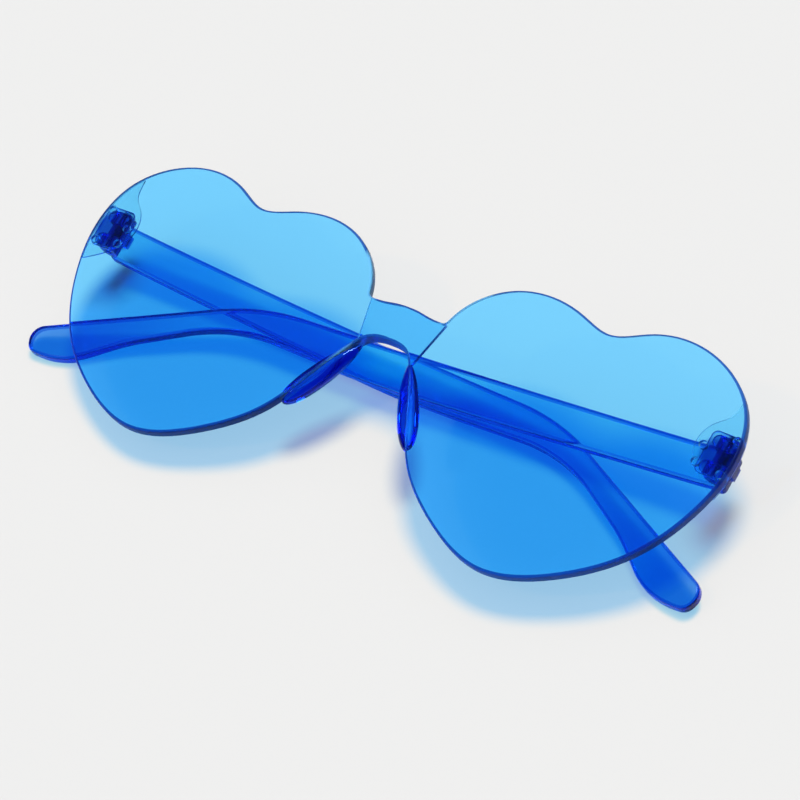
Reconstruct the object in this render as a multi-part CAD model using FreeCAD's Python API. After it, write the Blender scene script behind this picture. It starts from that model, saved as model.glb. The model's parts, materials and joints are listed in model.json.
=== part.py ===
import FreeCAD
import Part
import math
import os

# Rimless heart shaped sunglasses, folded and lying with the lenses up.
# Millimetres. X runs along the width towards the wearer's left, Y up the face, Z up from the table.
# Pieces are first made in the front's own frame: Y = 0 at half the heart's height, Z = 0 on the
# middle of the front surface, Z towards the viewer. Then the whole is laid on the table, where it
# stands on the bowed right temple and on both temple tips.

# Front plate
front_width = 147.0
heart_pitch = 80.0
heart_height = 55.5
brow_gap = 17.6
nose_gap = 13.0
lens_thickness = 1.8
front_curve_radius = 1100.0
rim_round = 0.55

# Bridge
bridge_top = 13.85
bridge_bottom = 6.85
bridge_crown = 0.7
bridge_step = 0.8
bridge_pad_top = 17.8
bridge_pad_bottom = 12.4
brow_corner = 0.9
arch_spring = 3.45
arch_shoulder = 0.7

# Nose pads
pad_length = 18.4
pad_drop = 0.9
pad_radius = 2.2
pad_tip_radius = 0.3
pad_top_taper = 5.0
pad_low_taper = 0.6
pad_clearance = 0.1
pad_overhang = 0.3
pad_sink = 0.2
pad_front_set_back = 0.2

# Hinge blocks
hinge_inset = 3.7
hinge_bottom = 5.65
lug_height = 2.6
knuckle_height = 2.5
end_play = 0.1
lug_radius = 1.9
base_thickness = 0.35
base_glue_line = 0.05
base_reach = 9.0
base_length = 25.0
axis_standoff = 2.8
boss_width = 6.6
boss_overlap = 0.5
boss_height = 0.85
boss_round = 0.35
foot_width = 5.6
foot_height = 1.5
hinge_corner = 1.25
peg_radius = 0.8
peg_depth = 1.1
peg_clearance = 0.05

# Hinge screws
screw_radius = 0.7
running_clearance = 0.05
thread_clearance = 0.02
screw_head_radius = 1.25
screw_head_height = 0.7
slot_width = 0.35
slot_depth = 0.35
screw_end_cover = 0.5

# Temples
temple_thickness = 2.4
temple_clearance = 0.35
temple_butt = 1.2
temple_edge_round = 0.6
temple_chord = 146.0
butt_corner = 1.0
butt_drop = 0.3
shank_drop = 5.7
ear_bend = 103.8
hook_run = 43.2
hook_drop = 21.6
waist_setback = 3.4
waist_height = 6.05
belly_at = 72.0
belly_height = 6.75
swell_at = 22.2
swell_height = 17.45
paddle_heel = 10.8
paddle_toe = 2.0
paddle_drop = 4.65
ear_bend_radius = 45.0
waist_radius = 35.0
belly_radius = 300.0
swell_radius = 40.0
paddle_top_radius = 3.2
paddle_toe_radius = 2.4
paddle_heel_radius = 16.0

# Folded pose: bow of a free temple, how far the two bend each other where they cross, the angle of
# each away from the front, how far each turns in its hinge's end play, and the opened angle
temple_bow = 3.05
mutual_flex = 1.27
outer_fold = 0.1
inner_fold = -0.96
hinge_play = 0.25
open_angle = 90.0

# Feet of the folded glasses: half length of the right temple's middle, and length of a tip
middle_reach = 25.0
tip_reach = 25.0
settle_rounds = 8

# The heart's outline, from the bridge over both lobes and round the point to the nose: each pair is a
# share of the heart's half width, inner side negative, and a share of its height.
lobe_and_point = [
    (-0.885, 0.374),
    (-0.689, 0.451),
    (-0.449, 0.475),
    (-0.208, 0.450),
    (0.0, 0.421),
    (0.194, 0.469),
    (0.433, 0.500),
    (0.701, 0.460),
    (0.925, 0.340),
    (1.0, 0.176),
    (0.940, -0.032),
    (0.749, -0.248),
    (0.418, -0.417),
    (0.0, -0.500),
    (-0.433, -0.412),
    (-0.769, -0.250),
    (-0.965, -0.046),
]

# Inner edge of the hinge base: distance in from the rim's widest point as a share of the base's reach,
# and height from the hinge's middle as a share of the base's length.
base_edge = [
    (-0.44, 0.54),
    (0.49, 0.46),
    (0.57, 0.31),
    (0.83, 0.21),
    (1.0, 0.04),
    (0.84, -0.12),
    (0.47, -0.24),
    (-0.44, -0.46),
]

# Pegs of the hinge base, in the same shares
peg_places = [(0.18, 0.14), (0.18, -0.14), (0.79, 0.024), (0.77, -0.116)]

UP = FreeCAD.Vector(0, 1, 0)
SIDE = FreeCAD.Vector(1, 0, 0)
OUT = FreeCAD.Vector(0, 0, 1)

# Values that follow from the sizes above
half_pitch = heart_pitch / 2
outer_half = front_width / 2 - half_pitch
inner_half = half_pitch - brow_gap / 2
brow_point = (brow_gap / 2 + 0.2 * brow_corner, bridge_top + brow_corner)
nose_point = (nose_gap / 2, bridge_bottom - arch_spring)
back_radius = front_curve_radius - lens_thickness
hinge_x = front_width / 2 - hinge_inset
hinge_height = 2 * lug_height + knuckle_height + 2 * end_play
hinge_top = hinge_bottom + hinge_height
hinge_mid = hinge_bottom + hinge_height / 2
knuckle_bottom = hinge_bottom + lug_height + end_play
upper_lug_bottom = knuckle_bottom + knuckle_height + end_play
temple_inner = lug_radius + temple_clearance
outer_bow = temple_bow + mutual_flex
inner_bow = temple_bow - mutual_flex
through = heart_height


def vec(x, y, z=0.0):
    return FreeCAD.Vector(x, y, z)


def back_height(x, behind=0.0):
    """Height of the plate's back, or of a surface behind it, at a distance from the middle."""
    radius = back_radius - behind
    return math.sqrt(radius * radius - x * x) - front_curve_radius


hinge_z = back_height(hinge_x) - base_thickness - axis_standoff


def heart_points():
    """Points of the left heart from the brow corner round to the nose corner."""
    points = [vec(*brow_point)]
    for across, up in lobe_and_point:
        half = outer_half if across > 0 else inner_half
        points.append(vec(half_pitch + across * half, up * heart_height))
    points.append(vec(*nose_point))
    return points


def smooth_curve(points):
    curve = Part.BSplineCurve()
    curve.interpolate(points)
    return curve


def bent_edge(poles):
    curve = Part.BezierCurve()
    curve.setPoles(poles)
    return curve.toShape()


def flipped(shape):
    """The same shape on the wearer's right."""
    return shape.mirror(vec(0, 0), SIDE)


def front_outline():
    """Closed outline of the plate: bridge top, left heart, nose arch and right heart."""
    points = heart_points()
    heart = smooth_curve(points)
    rise = heart.tangent(heart.FirstParameter)[0]
    fall = heart.tangent(heart.LastParameter)[0]
    corner = points[0] - rise * (brow_corner / rise.y)
    bridge_end = corner - SIDE * brow_corner
    crest = vec(0, bridge_end.y + bridge_crown)
    reach = SIDE * (bridge_end.x / 2)
    nose = points[-1]
    spring = nose + fall * (arch_spring * arch_shoulder)
    crown = vec(nose.x * arch_shoulder, bridge_bottom)
    half = [
        bent_edge([crest, crest + reach, bridge_end - reach, bridge_end]),
        bent_edge([bridge_end, corner, points[0]]),
        heart.toShape(),
        bent_edge([nose, spring, crown, vec(0, bridge_bottom)]),
    ]
    edges = half + [flipped(edge) for edge in half]
    return Part.Wire(Part.__sortEdges__(edges))


def prism(wire, low=-through, high=through):
    """Solid of a flat outline between two heights."""
    face = Part.Face(wire)
    face.translate(vec(0, 0, low))
    return face.extrude(OUT * (high - low))


def drum(radius, x, z):
    """A tall upright drum about an axis at x, z, with its seam at the far side."""
    tall = 4 * heart_height
    middle = vec(x, -tall / 2, z)
    shape = Part.makeCylinder(radius, tall, middle, UP)
    shape.rotate(middle, UP, 180)
    return shape


def behind_front(depth):
    """Everything behind the front surface, sunk by a depth."""
    return drum(front_curve_radius - depth, 0, -front_curve_radius)


def layer(solid, near, far):
    """The part of a solid between two depths behind the front surface."""
    return solid.common(behind_front(near)).cut(behind_front(far))


def polygon(points):
    return Part.makePolygon(points + [points[0]])


def rounded_polygon(corners):
    """Closed outline of straight runs and tangent arcs. Each corner is x, y and its radius."""
    count = len(corners)
    runs = []
    for i, (x, y, radius) in enumerate(corners):
        here = vec(x, y)
        before = vec(*corners[i - 1][:2]) - here
        after = vec(*corners[(i + 1) % count][:2]) - here
        before.normalize()
        after.normalize()
        half = before.getAngle(after) / 2
        reach = radius / math.tan(half)
        middle = before + after
        middle.normalize()
        bulge = radius / math.sin(half) - radius
        runs.append((here + before * reach, here + middle * bulge, here + after * reach))
    edges = []
    for i, (start, mid, end) in enumerate(runs):
        edges.append(Part.Arc(start, mid, end).toShape())
        edges.append(Part.makeLine(end, runs[(i + 1) % count][0]))
    return Part.Wire(edges)


def one_piece(shape):
    """The only solid of a finished piece."""
    (solid,) = shape.removeSplitter().Solids
    return solid


def hinge_rod(radius, low, high, x=hinge_x, z=hinge_z):
    return Part.makeCylinder(radius, high - low, vec(x, low, z), UP)


def base_points(shares):
    """Points of the left hinge base on the plane of the front."""
    return [vec(front_width / 2 - inset * base_reach, hinge_mid + up * base_length) for inset, up in shares]


def peg_pattern(radius, depth):
    """Four pegs of the hinge base, reaching into the plate from its back."""
    pegs = []
    for place in base_points(peg_places):
        rod = Part.makeCylinder(radius, through, place - OUT * (through / 2), OUT)
        pegs.append(layer(rod, lens_thickness - depth, lens_thickness + base_glue_line))
    return pegs


def edges_on_drum(solid, radius, x, z):
    """Edges of a solid that lie on a drum's surface."""
    found = []
    for edge in solid.Edges:
        ends = [vertex.Point for vertex in edge.Vertexes]
        ends.append(edge.valueAt((edge.FirstParameter + edge.LastParameter) / 2))
        gaps = [abs(math.hypot(p.x - x, p.z - z) - radius) for p in ends]
        if max(gaps) < rim_round / 10:
            found.append(edge)
    return found


def bridge_block(outline):
    """The extra thickness behind the bridge."""
    corners = polygon(
        [
            vec(-bridge_pad_top / 2, bridge_top + bridge_crown + brow_corner),
            vec(bridge_pad_top / 2, bridge_top + bridge_crown + brow_corner),
            vec(bridge_pad_bottom / 2, bridge_bottom - arch_spring),
            vec(-bridge_pad_bottom / 2, bridge_bottom - arch_spring),
        ]
    )
    return layer(prism(corners).common(prism(outline)), lens_thickness, lens_thickness + bridge_step)


def make_front_shield(outline):
    plate = layer(prism(outline), 0, lens_thickness)
    rim = edges_on_drum(plate, front_curve_radius, 0, -front_curve_radius)
    plate = plate.makeFillet(rim_round, rim)
    shield = plate.fuse(bridge_block(outline))
    for hole in peg_pattern(peg_radius + peg_clearance, peg_depth):
        shield = shield.cut(hole).cut(flipped(hole))
    return one_piece(shield)


def make_nose_pad(outline):
    """A spindle along the nose edge, wrapped round the plate's edge and flat at the front."""
    points = heart_points()
    top, low = points[-1], points[-3]
    along = low - top
    along.normalize()
    inward = vec(along.y, -along.x)
    middle = points[-2] + inward * pad_overhang + along * pad_drop
    middle.z = back_height(middle.x) - pad_sink
    start = middle - along * (pad_length / 2)
    end = middle + along * (pad_length / 2)
    tip = inward * pad_tip_radius
    swell = inward * ((4 * pad_radius - pad_tip_radius) / 3)
    poles = [start + tip, start + along * pad_top_taper + swell, end - along * pad_low_taper + swell, end + tip]
    ends = Part.makePolygon([poles[-1], end, start, poles[0]])
    half = Part.Face(Part.Wire([bent_edge(poles)] + ends.Edges))
    spindle = half.revolve(start, along, 360)
    spindle = spindle.common(behind_front(pad_front_set_back))
    around = layer(prism(outline), -pad_length, lens_thickness + pad_clearance)
    around.translate(inward * pad_clearance)
    return one_piece(spindle.cut(around).cut(bridge_block(outline)))


def hinge_pad(width, bottom, top, height):
    """A pad with rounded corners on the back of the plate, under the hinge."""
    left = hinge_x - width / 2
    right = hinge_x + width / 2
    corners = [(left, bottom), (right, bottom), (right, top), (left, top)]
    region = prism(rounded_polygon([(x, y, hinge_corner) for x, y in corners]))
    far = lens_thickness + height
    pad = layer(region, lens_thickness + base_thickness / 2, far)
    edges = edges_on_drum(pad, front_curve_radius - far, 0, -front_curve_radius)
    return pad.makeFillet(boss_round, edges)


def make_hinge_block(outline):
    """Base on the back of the plate, flush with its rim, with a boss, two footed lugs and four pegs."""
    points = base_points(base_edge)
    closing = Part.makeLine(points[-1], points[0])
    region = prism(Part.Wire([smooth_curve(points).toShape(), closing]))
    far = lens_thickness + base_thickness
    block = layer(region.common(prism(outline)), lens_thickness + base_glue_line, far)
    boss_ends = (hinge_bottom - boss_overlap, hinge_top + boss_overlap)
    block = block.fuse(hinge_pad(boss_width, *boss_ends, boss_height))
    for bottom in (hinge_bottom, upper_lug_bottom):
        block = block.fuse(hinge_pad(foot_width, bottom, bottom + lug_height, foot_height))
        stem = Part.makeBox(
            2 * lug_radius,
            lug_height,
            2 * axis_standoff,
            vec(hinge_x - lug_radius, bottom, hinge_z),
        )
        stem = stem.common(behind_front(far - base_thickness / 2))
        block = block.fuse(stem).fuse(hinge_rod(lug_radius, bottom, bottom + lug_height))
    for peg in peg_pattern(peg_radius, peg_depth - peg_clearance):
        block = block.fuse(peg)
    threaded = screw_radius + thread_clearance
    clear = screw_radius + running_clearance
    block = block.cut(hinge_rod(threaded, hinge_bottom - lug_height, knuckle_bottom))
    block = block.cut(hinge_rod(clear, upper_lug_bottom - end_play, hinge_top + lug_height))
    return one_piece(block)


def make_hinge_screw():
    shank = hinge_rod(screw_radius, hinge_bottom + screw_end_cover, hinge_top)
    head = hinge_rod(screw_head_radius, hinge_top, hinge_top + screw_head_height)
    slot = Part.makeBox(
        slot_width,
        slot_depth,
        4 * screw_head_radius,
        vec(
            hinge_x - slot_width / 2,
            hinge_top + screw_head_height - slot_depth,
            hinge_z - 2 * screw_head_radius,
        ),
    )
    return one_piece(shank.fuse(head).cut(slot))


def temple_corners():
    """Corners of the side view: x along the temple from the hinge axis, y up."""
    bend_y = hinge_top - shank_drop
    tip = (ear_bend + hook_run, bend_y - hook_drop)
    low = tip[1] - paddle_drop
    return [
        (-temple_butt, hinge_top - butt_drop, butt_corner),
        (ear_bend, bend_y, ear_bend_radius),
        (tip[0], tip[1], paddle_top_radius),
        (tip[0] - paddle_toe, low, paddle_toe_radius),
        (tip[0] - paddle_heel, low, paddle_heel_radius),
        (ear_bend + swell_at, bend_y - swell_height, swell_radius),
        (ear_bend + waist_setback, bend_y - waist_height, waist_radius),
        (belly_at, bend_y - belly_height, belly_radius),
        (-temple_butt, hinge_bottom, butt_corner),
    ]


def bowed_strip(bow):
    """The temple's side view as a strip between two drums, hollow towards the front, with rounded edges."""
    half = temple_chord / 2
    radius = (half * half + bow * bow) / (2 * bow)
    axis = (half, temple_inner + bow - radius)
    strip = prism(rounded_polygon(temple_corners()))
    strip = strip.common(drum(radius + temple_thickness, *axis)).cut(drum(radius, *axis))
    rounded = [edge for r in (radius, radius + temple_thickness) for edge in edges_on_drum(strip, r, *axis)]
    return strip.makeFillet(temple_edge_round, rounded)


def make_temple(bow):
    """Left temple folded along the front: the strip and its hinge knuckle."""
    knuckle = hinge_rod(lug_radius, knuckle_bottom, knuckle_bottom + knuckle_height, 0, 0)
    web = Part.makeBox(
        2 * lug_radius,
        knuckle_height,
        temple_inner + temple_thickness / 2,
        vec(-lug_radius, knuckle_bottom, 0),
    )
    strip = bowed_strip(bow)
    temple = strip.fuse(knuckle).fuse(web)
    temple = temple.cut(hinge_rod(screw_radius + running_clearance, 0, 2 * hinge_top, 0, 0))
    temple.rotate(vec(0, 0), UP, 180)
    temple.translate(vec(hinge_x, 0, hinge_z))
    return one_piece(temple)


def folded(shape, side, angle):
    """A temple swung away from the front by an angle. Side is 1 on the wearer's left, -1 on the right."""
    turned = shape.copy()
    turned.rotate(vec(side * hinge_x, hinge_mid, hinge_z), OUT, hinge_play)
    turned.rotate(vec(side * hinge_x, 0, hinge_z), UP, -side * angle)
    return turned


def slab(low, high):
    """Everything between two distances along the width."""
    return Part.makeBox(high - low, 2 * through, 2 * through, vec(low, -through, -through))


def resting_turn(shapes):
    """The turn that sets the right temple's middle and both tips level on the table."""
    tip = temple_chord - hinge_x
    feet = [
        shapes["temple_right"].common(slab(-middle_reach, middle_reach)),
        shapes["temple_right"].common(slab(tip - tip_reach, tip + tip_reach)),
        shapes["temple_left"].common(slab(-tip - tip_reach, -tip + tip_reach)),
    ]
    wide = 2 * front_width
    table = Part.makePlane(wide, wide, vec(-wide / 2, -wide / 2, -through))
    turn = FreeCAD.Rotation()
    for _ in range(settle_rounds):
        touching = []
        for foot in feet:
            turned = foot.copy()
            turned.rotate(vec(0, 0), turn.Axis, math.degrees(turn.Angle))
            lowest = turned.distToShape(table)[1][0][0]
            touching.append(turn.inverted().multVec(lowest))
        middle, right, left = touching
        turn = FreeCAD.Rotation((left - middle).cross(right - middle), OUT)
    return turn


def lay_on_table(shapes):
    """Turns the whole onto its feet and centres it over the origin."""
    turn = resting_turn(shapes)
    for shape in shapes.values():
        shape.rotate(vec(0, 0), turn.Axis, math.degrees(turn.Angle))
    box = Part.makeCompound(list(shapes.values())).optimalBoundingBox()
    shift = vec(-box.Center.x, -box.Center.y, -box.ZMin)
    for shape in shapes.values():
        shape.translate(shift)
    return FreeCAD.Placement(shift, turn)


def make_all():
    outline = front_outline()
    hinge_block = make_hinge_block(outline)
    screw = make_hinge_screw()
    pad = make_nose_pad(outline)
    left = make_temple(inner_bow)
    right = flipped(make_temple(outer_bow))
    return {
        "front_shield": make_front_shield(outline),
        "nose_pad_left": pad,
        "nose_pad_right": flipped(pad),
        "hinge_block_left": hinge_block,
        "hinge_block_right": flipped(hinge_block),
        "hinge_screw_left": screw,
        "hinge_screw_right": flipped(screw),
        "temple_left": folded(left, 1, inner_fold),
        "temple_right": folded(right, -1, outer_fold),
    }


def main():
    os.makedirs("parts", exist_ok=True)
    shapes = make_all()
    rest = lay_on_table(shapes)
    for name, shape in shapes.items():
        print(name, "valid", shape.isValid(), "solids", len(shape.Solids), "mm3", round(shape.Volume, 2))
        shape.exportStep("parts/" + name + ".step")
    for side, label, fold in ((1, "left", inner_fold), (-1, "right", outer_fold)):
        place = rest.multVec(vec(side * hinge_x, hinge_mid, hinge_z))
        axis = rest.Rotation.multVec(UP * -side)
        print(label, "hinge at", [round(c, 4) for c in place], "axis", [round(c, 6) for c in axis])
        print(label, "hinge opens by", round(open_angle - fold, 3))
    print("rest turn", rest.Rotation.Axis, math.degrees(rest.Rotation.Angle), "shift", rest.Base)
    print("gap between temples", round(shapes["temple_left"].distToShape(shapes["temple_right"])[0], 3))


main()
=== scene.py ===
import json
import math

import bpy
from mathutils import Matrix, Quaternion, Vector

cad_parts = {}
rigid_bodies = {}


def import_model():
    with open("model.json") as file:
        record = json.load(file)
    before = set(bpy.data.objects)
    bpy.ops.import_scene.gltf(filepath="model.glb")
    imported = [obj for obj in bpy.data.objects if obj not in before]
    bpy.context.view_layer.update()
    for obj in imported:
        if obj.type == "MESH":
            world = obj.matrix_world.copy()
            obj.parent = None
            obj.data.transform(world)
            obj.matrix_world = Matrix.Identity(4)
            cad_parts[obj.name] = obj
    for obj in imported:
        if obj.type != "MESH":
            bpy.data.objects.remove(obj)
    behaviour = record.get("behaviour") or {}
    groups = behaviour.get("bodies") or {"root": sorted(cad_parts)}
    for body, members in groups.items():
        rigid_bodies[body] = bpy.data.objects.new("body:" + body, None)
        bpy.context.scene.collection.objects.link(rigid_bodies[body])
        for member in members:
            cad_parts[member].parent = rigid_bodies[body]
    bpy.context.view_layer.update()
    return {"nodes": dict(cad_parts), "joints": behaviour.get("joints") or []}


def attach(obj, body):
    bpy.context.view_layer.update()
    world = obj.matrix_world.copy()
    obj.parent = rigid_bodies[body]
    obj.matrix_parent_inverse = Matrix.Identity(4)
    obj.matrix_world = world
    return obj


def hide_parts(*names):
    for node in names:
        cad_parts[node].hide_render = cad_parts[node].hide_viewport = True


# Rimless heart shaped sunglasses in clear blue plastic, folded and lying with the lenses up.
# Metres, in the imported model's frame.

# Camera at the photograph's viewing angle
camera_place = Vector((0.32304, -0.31386, 0.51828))
camera_aim = Vector((0.00677, -0.0022, 0.01193))
camera_roll = math.radians(15.715)
camera_lens = 162.5
camera_sensor = 36.0
camera_near = 0.01

# Studio: a broad lamp high behind the glasses, an overhead glow, a small lamp for glints on the edges,
# a dark room and a pale floor
lamp_direction = Vector((-0.01, 0.42, 1.0))
lamp_angle = math.radians(20)
lamp_strength = 3.05
glow_direction = Vector((0, 0, 1))
glow_angle = math.radians(120)
glow_strength = 0.4
glint_direction = Vector((-0.35, -0.45, 0.82))
glint_angle = math.radians(4)
glint_strength = 0.16
room_light = 0.03
pale_background = 0.85
floor_colour = (0.80, 0.80, 0.795, 1)
# Painted light: the floor seen through plastic is paler and bluer than floor_colour, making up for light the
# plastic's surfaces reflect away
floor_painted_paler_through_plastic = (0.93, 0.97, 1.0, 1)
floor_size = 6.0
floor_show_through = 0.24

# Light crosses many plastic walls: the folded temples lie under the lenses
wall_bounces = 24
mirror_bounces = 12
clear_wall_bounces = 48

# Clear resin. Each moulding has its dye's colour and strength, the share of the lamps' light that each of its
# walls lets by, the painted shade and the dullness of walls that turn away from the lens's face (a darker
# colour that stands in for light those walls bend away), the roughness of its polished faces, and the size
# and height of the ripples that the mould leaves
plastic_ior = 1.5
clear = (1.0, 1.0, 1.0, 1.0)
reflection_tint = (0.15, 0.3, 1.0, 1)
lens_resin = {
    "dye": (0.0, 0.722, 0.997, 1),
    "strength": 850.0,
    "lamps": 0.99,
    "wall": (0.01, 0.04, 0.25, 1),
    "dull": 0.5,
    "polish": 0.012,
    "ripple_size": 0.006,
    "ripple_height": 0.000004,
}
temple_resin = {
    "dye": (0.0, 0.762, 0.994, 1),
    "strength": 720.0,
    "lamps": 0.97,
    "wall": (0.12, 0.25, 0.75, 1),
    "dull": 0.1,
    "polish": 0.035,
    "ripple_size": 0.004,
    "ripple_height": 0.00001,
}
hinge_resin = {
    "dye": (0.0, 0.735, 0.97, 1),
    "strength": 900.0,
    "lamps": 0.88,
    "wall": (0.3, 0.45, 0.85, 1),
    "dull": 0.2,
    "polish": 0.04,
    "ripple_size": 0.0012,
    "ripple_height": 0.000008,
}
pad_resin = {
    "dye": (0.0, 0.72, 0.975, 1),
    "strength": 1300.0,
    "lamps": 0.82,
    "wall": (0.06, 0.14, 0.58, 1),
    "dull": 0.0,
    "polish": 0.03,
    "ripple_size": 0.0015,
    "ripple_height": 0.000008,
}

# Walls are told from faces by how squarely they face along the lens's normal; walls get painted shade and
# more roughness
lens_face = Vector((-0.0202, -0.2381, 0.971))
wall_from, wall_to = 0.97, 0.996

# Duller patches of polish: their size in ripples, and their roughness against the polish
ripple_detail = 2.0
patch_ripples = 3
patch_detail = 4.0
patch_dulling = 3

# The part of a noise texture's range that is put to use
noise_low, noise_high = 0.3, 0.7

# Tints by distance from a hinge's middle: the thick lugs and knuckles are painted navy as painted shade, and
# the paddles deeper, partly for their thicker resin and partly as painted shadow where the tips lie near the
# floor
navy_painted_shade = (0.05, 0.13, 0.5, 1)
lug_core, lug_fade = 0.0042, 0.0054
knuckle_core, knuckle_fade = 0.0026, 0.0034
# Paddle tint: partly the deeper blue of the thicker paddles, partly painted shadow where the tips lie near
# the floor
deep_paddle_and_shadow = (0.42, 0.45, 0.86, 1)
paddle_start, paddle_full = 0.108, 0.138

# The steps at both ends of the bridge stay clear of the painted shade on walls
step_place = 0.0108
step_half, step_fade = 0.0026, 0.004

# Turned screw steel: stains and fine lathe rings
stain_size = 0.0006
stain_detail = 3.0
stained_steel = (0.42, 0.42, 0.43, 1)
bright_steel = (0.68, 0.69, 0.71, 1)
stained_roughness, bright_roughness = 0.38, 0.22
ring_size = 0.00005
ring_detail = 1.0
ring_stretch = (0.1, 1, 0.1)
ring_strength = 0.4
ring_height = 0.000004

# Hinge screws, along their own axis from the hinge's middle
screw_radius = 0.0007
screw_low_end = -0.00345
screw_seat = 0.00395
head_radius = 0.00125
head_height = 0.0007
head_chamfer = 0.00018
slot_width = 0.00035
slot_depth = 0.00035
thread_pitch = 0.00035
thread_depth = 0.00016
sharp_edge = math.radians(35)

# How finely a screw is cut, its thread's ridge as a share of the thread's depth, the turns by which the
# thread falls short of the shank, and the pitches between the shank's low end and the thread's start
core_sides = 32
head_sides = 48
ridge_sides = 4
steps_per_turn = 24
ridge_share = 0.9
bare_turns = 1.5
thread_start = 0.8

# The slot's cutter: its length in head radii, and its height in slot depths, as it is centred on the top
slot_reach = 3
slot_cutter_depths = 2


def new_material(name):
    material = bpy.data.materials.new(name)
    material.use_nodes = True
    tree = material.node_tree
    tree.nodes.clear()
    return material, tree


def add(tree, kind, **sockets):
    """A new node with values for its sockets, an underscore standing for a space in a socket's name."""
    node = tree.nodes.new(kind)
    for label, value in sockets.items():
        node.inputs[label.replace("_", " ")].default_value = value
    return node


def link(tree, source, output, target, socket):
    tree.links.new(source.outputs[output], target.inputs[socket])


def noise_on_piece(tree, size, detail, stretch=(1, 1, 1)):
    """Noise that stays on the piece, with features of a given size."""
    place = add(tree, "ShaderNodeTexCoord")
    mapping = add(tree, "ShaderNodeMapping", Scale=stretch)
    noise = add(tree, "ShaderNodeTexNoise", Scale=1 / size, Detail=detail)
    link(tree, place, "Object", mapping, "Vector")
    link(tree, mapping, "Vector", noise, "Vector")
    return noise


def facing_lens(tree):
    """How squarely a surface faces along the lens's own normal, 0 to 1."""
    place = add(tree, "ShaderNodeTexCoord")
    dot = tree.nodes.new("ShaderNodeVectorMath")
    dot.operation = "DOT_PRODUCT"
    dot.inputs[1].default_value = lens_face
    size = tree.nodes.new("ShaderNodeMath")
    size.operation = "ABSOLUTE"
    link(tree, place, "Normal", dot, 0)
    link(tree, dot, "Value", size, 0)
    return size.outputs[0]


def off_knuckle(tree, joint):
    """Distance from the middle of a hinge."""
    place = add(tree, "ShaderNodeTexCoord")
    reach = tree.nodes.new("ShaderNodeVectorMath")
    reach.operation = "DISTANCE"
    reach.inputs[1].default_value = joint["pos_m"]
    link(tree, place, "Object", reach, 0)
    return reach.outputs["Value"]


def off_step(tree):
    """Distance along the width from the nearer end of the bridge."""
    place = add(tree, "ShaderNodeTexCoord")
    parts = add(tree, "ShaderNodeSeparateXYZ")
    link(tree, place, "Object", parts, 0)
    last = parts.outputs["X"]
    for operation in ("ABSOLUTE", "SUBTRACT", "ABSOLUTE"):
        node = tree.nodes.new("ShaderNodeMath")
        node.operation = operation
        node.inputs[1].default_value = step_place
        tree.links.new(last, node.inputs[0])
        last = node.outputs[0]
    return last


def graded(tree, measure, low, high, low_value, high_value):
    """A number that goes from one value to another as a measure goes from low to high."""
    ramp = add(
        tree,
        "ShaderNodeMapRange",
        From_Min=low,
        From_Max=high,
        To_Min=low_value,
        To_Max=high_value,
    )
    tree.links.new(measure, ramp.inputs["Value"])
    return ramp.outputs["Result"]


def spread(tree, noise, low, high):
    """A number that a noise texture carries from low to high."""
    return graded(tree, noise.outputs["Fac"], noise_low, noise_high, low, high)


def mixed(tree, share, first, second, blend="MIX"):
    """Two colours, fixed or linked, mixed by a share, fixed or linked."""
    mix = tree.nodes.new("ShaderNodeMix")
    mix.data_type = "RGBA"
    mix.blend_type = blend
    for socket, value in ((mix.inputs[0], share), (mix.inputs[6], first), (mix.inputs[7], second)):
        if isinstance(value, (tuple, float)):
            socket.default_value = value
        else:
            tree.links.new(value, socket)
    return mix.outputs[2]


def total(tree, first, second):
    """The sum of two linked numbers."""
    node = tree.nodes.new("ShaderNodeMath")
    tree.links.new(first, node.inputs[0])
    tree.links.new(second, node.inputs[1])
    return node.outputs[0]


def resin_colour(tree, resin, facing, tints, clear_steps):
    """Colour of a moulding's surface: clear on its faces, painted darker on its walls as painted shade, and
    tinted where a tint says so.
    """
    face_share = graded(tree, facing, wall_from, wall_to, 0.0, 1.0)
    # Painted shade: walls turned away from the lens's face take a darker colour, standing in for light they
    # bend away
    colour = mixed(tree, face_share, resin["wall"], clear)
    if clear_steps:
        off_share = graded(tree, off_step(tree), step_half, step_fade, 0.0, 1.0)
        colour = mixed(tree, off_share, clear, colour)
    for measure, low, high, low_colour, high_colour in tints:
        tint_share = graded(tree, measure(tree), low, high, 0.0, 1.0)
        tint = mixed(tree, tint_share, low_colour, high_colour)
        colour = mixed(tree, 1.0, colour, tint, "MULTIPLY")
    return colour


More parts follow.
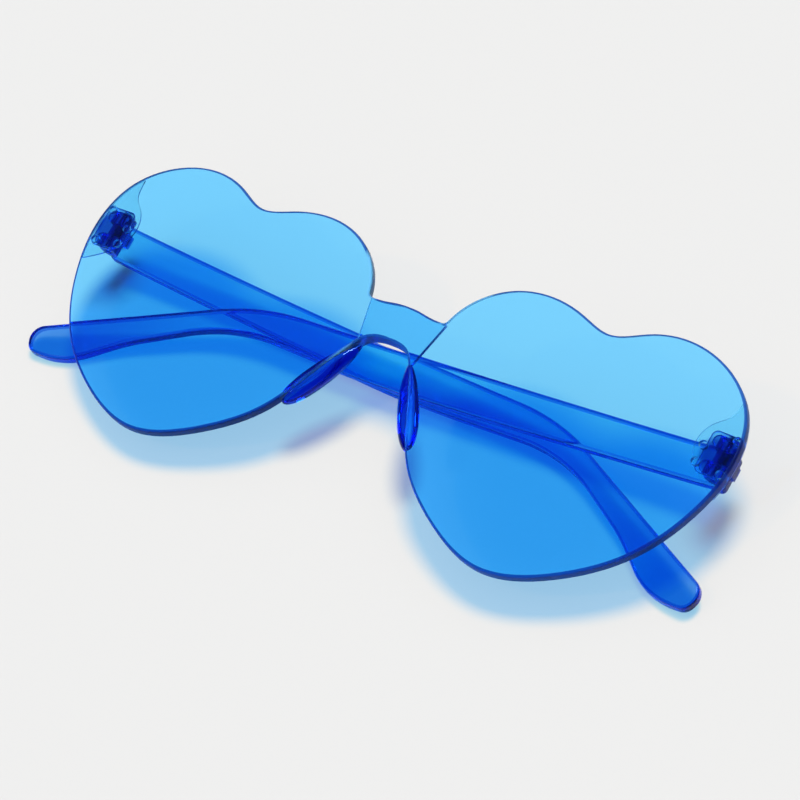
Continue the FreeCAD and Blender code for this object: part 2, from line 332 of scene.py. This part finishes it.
def clear_plastic(name, resin, tints=(), clear_steps=False):
    """Dyed clear plastic: lamps shine through it, its colour deepens with thickness, its walls are painted
    darker as painted shade and are duller than its faces, and the mould's polish leaves faint ripples and
    duller patches. Each tint is a function that gives a measure, the measure's low and high ends, and a
    colour at each."""
    material, tree = new_material(name)
    body = add(tree, "ShaderNodeBsdfPrincipled", IOR=plastic_ior)
    body.inputs["Transmission Weight"].default_value = 1.0
    body.inputs["Specular Tint"].default_value = reflection_tint
    facing = facing_lens(tree)
    tree.links.new(resin_colour(tree, resin, facing, tints, clear_steps), body.inputs["Base Color"])

    ripple = noise_on_piece(tree, resin["ripple_size"], ripple_detail)
    bump = add(tree, "ShaderNodeBump", Strength=1.0, Distance=resin["ripple_height"])
    link(tree, ripple, "Fac", bump, "Height")
    link(tree, bump, "Normal", body, "Normal")

    patches = noise_on_piece(tree, resin["ripple_size"] * patch_ripples, patch_detail)
    polished = spread(tree, patches, resin["polish"], resin["polish"] * patch_dulling)
    dull = graded(tree, facing, wall_from, wall_to, resin["dull"], 0.0)
    tree.links.new(total(tree, polished, dull), body.inputs["Roughness"])

    lamps_through = add(tree, "ShaderNodeBsdfTransparent", Color=(resin["lamps"],) * 3 + (1,))
    path = add(tree, "ShaderNodeLightPath")
    mix = add(tree, "ShaderNodeMixShader")
    depth = add(tree, "ShaderNodeVolumeAbsorption", Color=resin["dye"], Density=resin["strength"])
    out = add(tree, "ShaderNodeOutputMaterial")
    link(tree, path, "Is Shadow Ray", mix, "Fac")
    link(tree, body, "BSDF", mix, 1)
    link(tree, lamps_through, "BSDF", mix, 2)
    link(tree, mix, "Shader", out, "Surface")
    link(tree, depth, "Volume", out, "Volume")
    return material


def turned_steel(name):
    """Bright screw steel with fine lathe rings and small stains."""
    material, tree = new_material(name)
    body = add(tree, "ShaderNodeBsdfPrincipled", Metallic=1.0)
    stain = noise_on_piece(tree, stain_size, stain_detail)
    colour = tree.nodes.new("ShaderNodeValToRGB")
    colour.color_ramp.elements[0].color = stained_steel
    colour.color_ramp.elements[1].color = bright_steel
    roughness = spread(tree, stain, stained_roughness, bright_roughness)
    rings = noise_on_piece(tree, ring_size, ring_detail, ring_stretch)
    bump = add(tree, "ShaderNodeBump", Strength=ring_strength, Distance=ring_height)
    out = add(tree, "ShaderNodeOutputMaterial")
    link(tree, stain, "Fac", colour, "Fac")
    link(tree, colour, "Color", body, "Base Color")
    tree.links.new(roughness, body.inputs["Roughness"])
    link(tree, rings, "Fac", bump, "Height")
    link(tree, bump, "Normal", body, "Normal")
    link(tree, body, "BSDF", out, "Surface")
    return material


def pale_floor():
    """Pale floor that is a little see-through to the camera, so that temples opened downwards show
    below it, and painted paler and bluer where it is seen through plastic, as painted light that makes up for
    the light the plastic's surfaces reflect away."""
    material, tree = new_material("pale_floor")
    body = add(tree, "ShaderNodeBsdfDiffuse")
    below = add(tree, "ShaderNodeBsdfTransparent")
    path = add(tree, "ShaderNodeLightPath")
    mix = add(tree, "ShaderNodeMixShader")
    out = add(tree, "ShaderNodeOutputMaterial")
    # Painted light: a paler, bluer floor colour for rays that come through plastic
    shade = mixed(tree, path.outputs["Is Transmission Ray"], floor_colour, floor_painted_paler_through_plastic)
    show = graded(tree, path.outputs["Is Camera Ray"], 0.0, 1.0, 0.0, floor_show_through)
    tree.links.new(shade, body.inputs["Color"])
    tree.links.new(show, mix.inputs["Fac"])
    link(tree, body, "BSDF", mix, 1)
    link(tree, below, "BSDF", mix, 2)
    link(tree, mix, "Shader", out, "Surface")
    return material


def screw_tree():
    """Geometry Nodes for one hinge screw: core, wound thread, chamfered head and driver slot."""
    tree = bpy.data.node_groups.new("hinge_screw", "GeometryNodeTree")
    face = tree.interface
    face.new_socket("Geometry", in_out="OUTPUT", socket_type="NodeSocketGeometry")
    sizes = ["Radius", "Length", "Pitch", "Thread depth", "Head radius", "Head height", "Chamfer"]
    for label in sizes + ["Slot width", "Slot depth"]:
        face.new_socket(label, in_out="INPUT", socket_type="NodeSocketFloat")
    face.new_socket("Steel", in_out="INPUT", socket_type="NodeSocketMaterial")
    given = tree.nodes.new("NodeGroupInput").outputs

    def math_node(operation, first, second):
        node = tree.nodes.new("ShaderNodeMath")
        node.operation = operation
        for socket, value in zip(node.inputs, (first, second)):
            if isinstance(value, (int, float)):
                socket.default_value = value
            else:
                tree.links.new(value, socket)
        return node.outputs[0]

    def make(kind, fixed, **linked):
        node = tree.nodes.new(kind)
        for label, value in fixed.items():
            node.inputs[label].default_value = value
        for label, source in linked.items():
            tree.links.new(source, node.inputs[label.replace("_", " ")])
        return node

    def raised(mesh, height):
        lift = make("ShaderNodeCombineXYZ", {}, Z=height)
        return make("GeometryNodeTransform", {}, Geometry=mesh, Translation=lift.outputs[0]).outputs[0]

    def boolean(operation):
        node = tree.nodes.new("GeometryNodeMeshBoolean")
        node.operation = operation
        return node

    # Shank
    root = math_node("SUBTRACT", given["Radius"], given["Thread depth"])
    core = make("GeometryNodeMeshCylinder", {"Vertices": core_sides}, Radius=root, Depth=given["Length"])
    core = raised(core.outputs["Mesh"], math_node("MULTIPLY", given["Length"], -0.5))

    # Thread wound round the shank
    all_turns = math_node("DIVIDE", given["Length"], given["Pitch"])
    turns = math_node("SUBTRACT", all_turns, bare_turns)
    flank = math_node("MULTIPLY", given["Thread depth"], ridge_share)
    middle = math_node("SUBTRACT", given["Radius"], flank)
    rise = math_node("MULTIPLY", turns, given["Pitch"])
    wind = make("GeometryNodeCurveSpiral", {"Resolution": steps_per_turn}, Rotations=turns, Height=rise)
    for label in ("Start Radius", "End Radius"):
        tree.links.new(middle, wind.inputs[label])
    ridge = make("GeometryNodeCurvePrimitiveCircle", {"Resolution": ridge_sides}, Radius=flank)
    thread = make("GeometryNodeCurveToMesh", {"Fill Caps": True}, Curve=wind.outputs[0])
    tree.links.new(ridge.outputs[0], thread.inputs["Profile Curve"])
    lift = math_node("MULTIPLY", given["Pitch"], thread_start)
    thread = raised(thread.outputs[0], math_node("SUBTRACT", lift, given["Length"]))

    # Head with a chamfered top
    side = math_node("SUBTRACT", given["Head height"], given["Chamfer"])
    head = make("GeometryNodeMeshCylinder", {"Vertices": head_sides}, Radius=given["Head radius"], Depth=side)
    head = raised(head.outputs["Mesh"], math_node("MULTIPLY", side, 0.5))
    top = math_node("SUBTRACT", given["Head radius"], given["Chamfer"])
    cap = make("GeometryNodeMeshCone", {"Vertices": head_sides}, Radius_Top=top, Depth=given["Chamfer"])
    tree.links.new(given["Head radius"], cap.inputs["Radius Bottom"])
    cap = raised(cap.outputs["Mesh"], side)

    # Driver slot across the head
    groove_size = make(
        "ShaderNodeCombineXYZ",
        {},
        X=given["Slot width"],
        Y=math_node("MULTIPLY", given["Head radius"], slot_reach),
        Z=math_node("MULTIPLY", given["Slot depth"], slot_cutter_depths),
    )
    groove = make("GeometryNodeMeshCube", {}, Size=groove_size.outputs[0])
    groove = raised(groove.outputs["Mesh"], given["Head height"])
    union = boolean("UNION")
    tree.links.new(head, union.inputs["Mesh 2"])
    tree.links.new(cap, union.inputs["Mesh 2"])
    cut = boolean("DIFFERENCE")
    tree.links.new(union.outputs[0], cut.inputs["Mesh 1"])
    tree.links.new(groove, cut.inputs["Mesh 2"])

    join = tree.nodes.new("GeometryNodeJoinGeometry")
    for mesh in (core, thread, cut.outputs[0]):
        tree.links.new(mesh, join.inputs[0])
    whole = make("GeometryNodeRealizeInstances", {}, Geometry=join.outputs[0])
    finish = make("GeometryNodeSetMaterial", {}, Geometry=whole.outputs[0], Material=given["Steel"])
    tree.links.new(finish.outputs[0], tree.nodes.new("NodeGroupOutput").inputs[0])
    return tree


def screw_mesh(tree, steel):
    """The screw as a plain mesh, its seat at the origin and its head up."""
    holder = bpy.data.objects.new("screw_holder", bpy.data.meshes.new("screw_holder"))
    bpy.context.scene.collection.objects.link(holder)
    nodes = holder.modifiers.new("hinge_screw", "NODES")
    nodes.node_group = tree
    values = {
        "Radius": screw_radius,
        "Length": screw_seat - screw_low_end,
        "Pitch": thread_pitch,
        "Thread depth": thread_depth,
        "Head radius": head_radius,
        "Head height": head_height,
        "Chamfer": head_chamfer,
        "Slot width": slot_width,
        "Slot depth": slot_depth,
        "Steel": steel,
    }
    for item in tree.interface.items_tree:
        if item.in_out == "INPUT":
            nodes[item.identifier] = values[item.name]
    bpy.context.view_layer.update()
    shown = holder.evaluated_get(bpy.context.evaluated_depsgraph_get())
    mesh = bpy.data.meshes.new_from_object(shown)
    bpy.data.objects.remove(holder)
    return mesh


def build_screws(joints, steel):
    """Both hinge screws, each on its joint's axis with the head at the lobes' side."""
    tree = screw_tree()
    for joint in joints:
        side = joint["child"].replace("temple_", "")
        axis = Vector(joint["axis"]).normalized()
        up = axis if axis.y > 0 else -axis
        mesh = screw_mesh(tree, steel)
        turn = Vector((0, 0, 1)).rotation_difference(up).to_matrix().to_4x4()
        mesh.transform(Matrix.Translation(Vector(joint["pos_m"]) + up * screw_seat) @ turn)
        mesh.set_sharp_from_angle(angle=sharp_edge)
        screw = bpy.data.objects.new("threaded_screw_" + side, mesh)
        bpy.context.scene.collection.objects.link(screw)
        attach(screw, "front")
        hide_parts("hinge_screw_" + side)


def dress_mouldings(nodes, joints):
    """Gives each moulded piece its own clear plastic."""
    nodes["front_shield"].data.materials[0] = clear_plastic("lens_blue", lens_resin, clear_steps=True)
    pad_blue = clear_plastic("pad_blue", pad_resin)
    for joint in joints:
        temple = joint["child"]
        side = temple.replace("temple_", "")

        def from_hinge(tree, joint=joint):
            return off_knuckle(tree, joint)

        # Painted shade: the lugs and knuckles round each hinge are coloured navy
        lug_shade_tint = (from_hinge, lug_core, lug_fade, navy_painted_shade, clear)
        knuckle_shade_tint = (from_hinge, knuckle_core, knuckle_fade, navy_painted_shade, clear)
        # Partly painted shadow: the paddle tips are coloured deeper towards their ends
        paddle_depth_shadow_tint = (from_hinge, paddle_start, paddle_full, clear, deep_paddle_and_shadow)
        hinge_blue = clear_plastic("hinge_blue_" + side, hinge_resin, [lug_shade_tint])
        temple_blue = clear_plastic("temple_blue_" + side, temple_resin, [knuckle_shade_tint, paddle_depth_shadow_tint])
        nodes["nose_pad_" + side].data.materials[0] = pad_blue
        nodes["hinge_block_" + side].data.materials[0] = hinge_blue
        nodes[temple].data.materials[0] = temple_blue


def add_lamp(name, direction, angle, strength):
    """A distant lamp that stands in a direction, with a width as an angle."""
    lamp = bpy.data.lights.new(name, "SUN")
    lamp.angle = angle
    lamp.energy = strength
    holder = bpy.data.objects.new(name, lamp)
    holder.rotation_euler = (-direction).to_track_quat("-Z", "Y").to_euler()
    bpy.context.scene.collection.objects.link(holder)


def build_stage():
    """Floor, lamps and room."""
    bpy.ops.mesh.primitive_plane_add(size=floor_size)
    floor = bpy.context.object
    floor.name = "floor"
    floor.data.materials.append(pale_floor())
    add_lamp("broad_lamp", lamp_direction, lamp_angle, lamp_strength)
    add_lamp("overhead_glow", glow_direction, glow_angle, glow_strength)
    add_lamp("edge_glint", glint_direction, glint_angle, glint_strength)
    light_room()


def light_room():
    """Dark room above the floor, pale to the camera, and pale below the floor."""
    world = bpy.data.worlds.new("dark_room")
    world.use_nodes = True
    tree = world.node_tree
    room = tree.nodes["Background"]
    room.inputs["Color"].default_value = clear
    place = add(tree, "ShaderNodeTexCoord")
    heading = add(tree, "ShaderNodeSeparateXYZ")
    below = tree.nodes.new("ShaderNodeMath")
    below.operation = "LESS_THAN"
    below.inputs[1].default_value = 0.0
    path = add(tree, "ShaderNodeLightPath")
    link(tree, place, "Generated", heading, 0)
    link(tree, heading, "Z", below, 0)
    pale = total(tree, below.outputs[0], path.outputs["Is Camera Ray"])
    strength = graded(tree, pale, 0.0, 1.0, room_light, pale_background)
    tree.links.new(strength, room.inputs["Strength"])
    bpy.context.scene.world = world


def build_camera():
    data = bpy.data.cameras.new("camera")
    data.lens = camera_lens
    data.sensor_width = camera_sensor
    data.clip_start = camera_near
    camera = bpy.data.objects.new("camera", data)
    camera.location = camera_place
    aim = (camera_aim - camera_place).to_track_quat("-Z", "Y")
    camera.rotation_euler = (aim @ Quaternion((0, 0, 1), -camera_roll)).to_euler()
    bpy.context.scene.collection.objects.link(camera)
    bpy.context.scene.camera = camera


def set_light_paths(scene):
    """Plain colours, and enough bounces for light that crosses many plastic walls."""
    scene.view_settings.view_transform = "Standard"
    scene.cycles.max_bounces = wall_bounces
    scene.cycles.transmission_bounces = wall_bounces
    scene.cycles.glossy_bounces = mirror_bounces
    scene.cycles.transparent_max_bounces = clear_wall_bounces
    scene.cycles.caustics_refractive = False
    scene.cycles.caustics_reflective = False


for leftover in list(bpy.data.objects):
    bpy.data.objects.remove(leftover)
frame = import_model()
set_light_paths(bpy.context.scene)
dress_mouldings(frame["nodes"], frame["joints"])
build_screws(frame["joints"], turned_steel("screw_steel"))
build_stage()
build_camera()
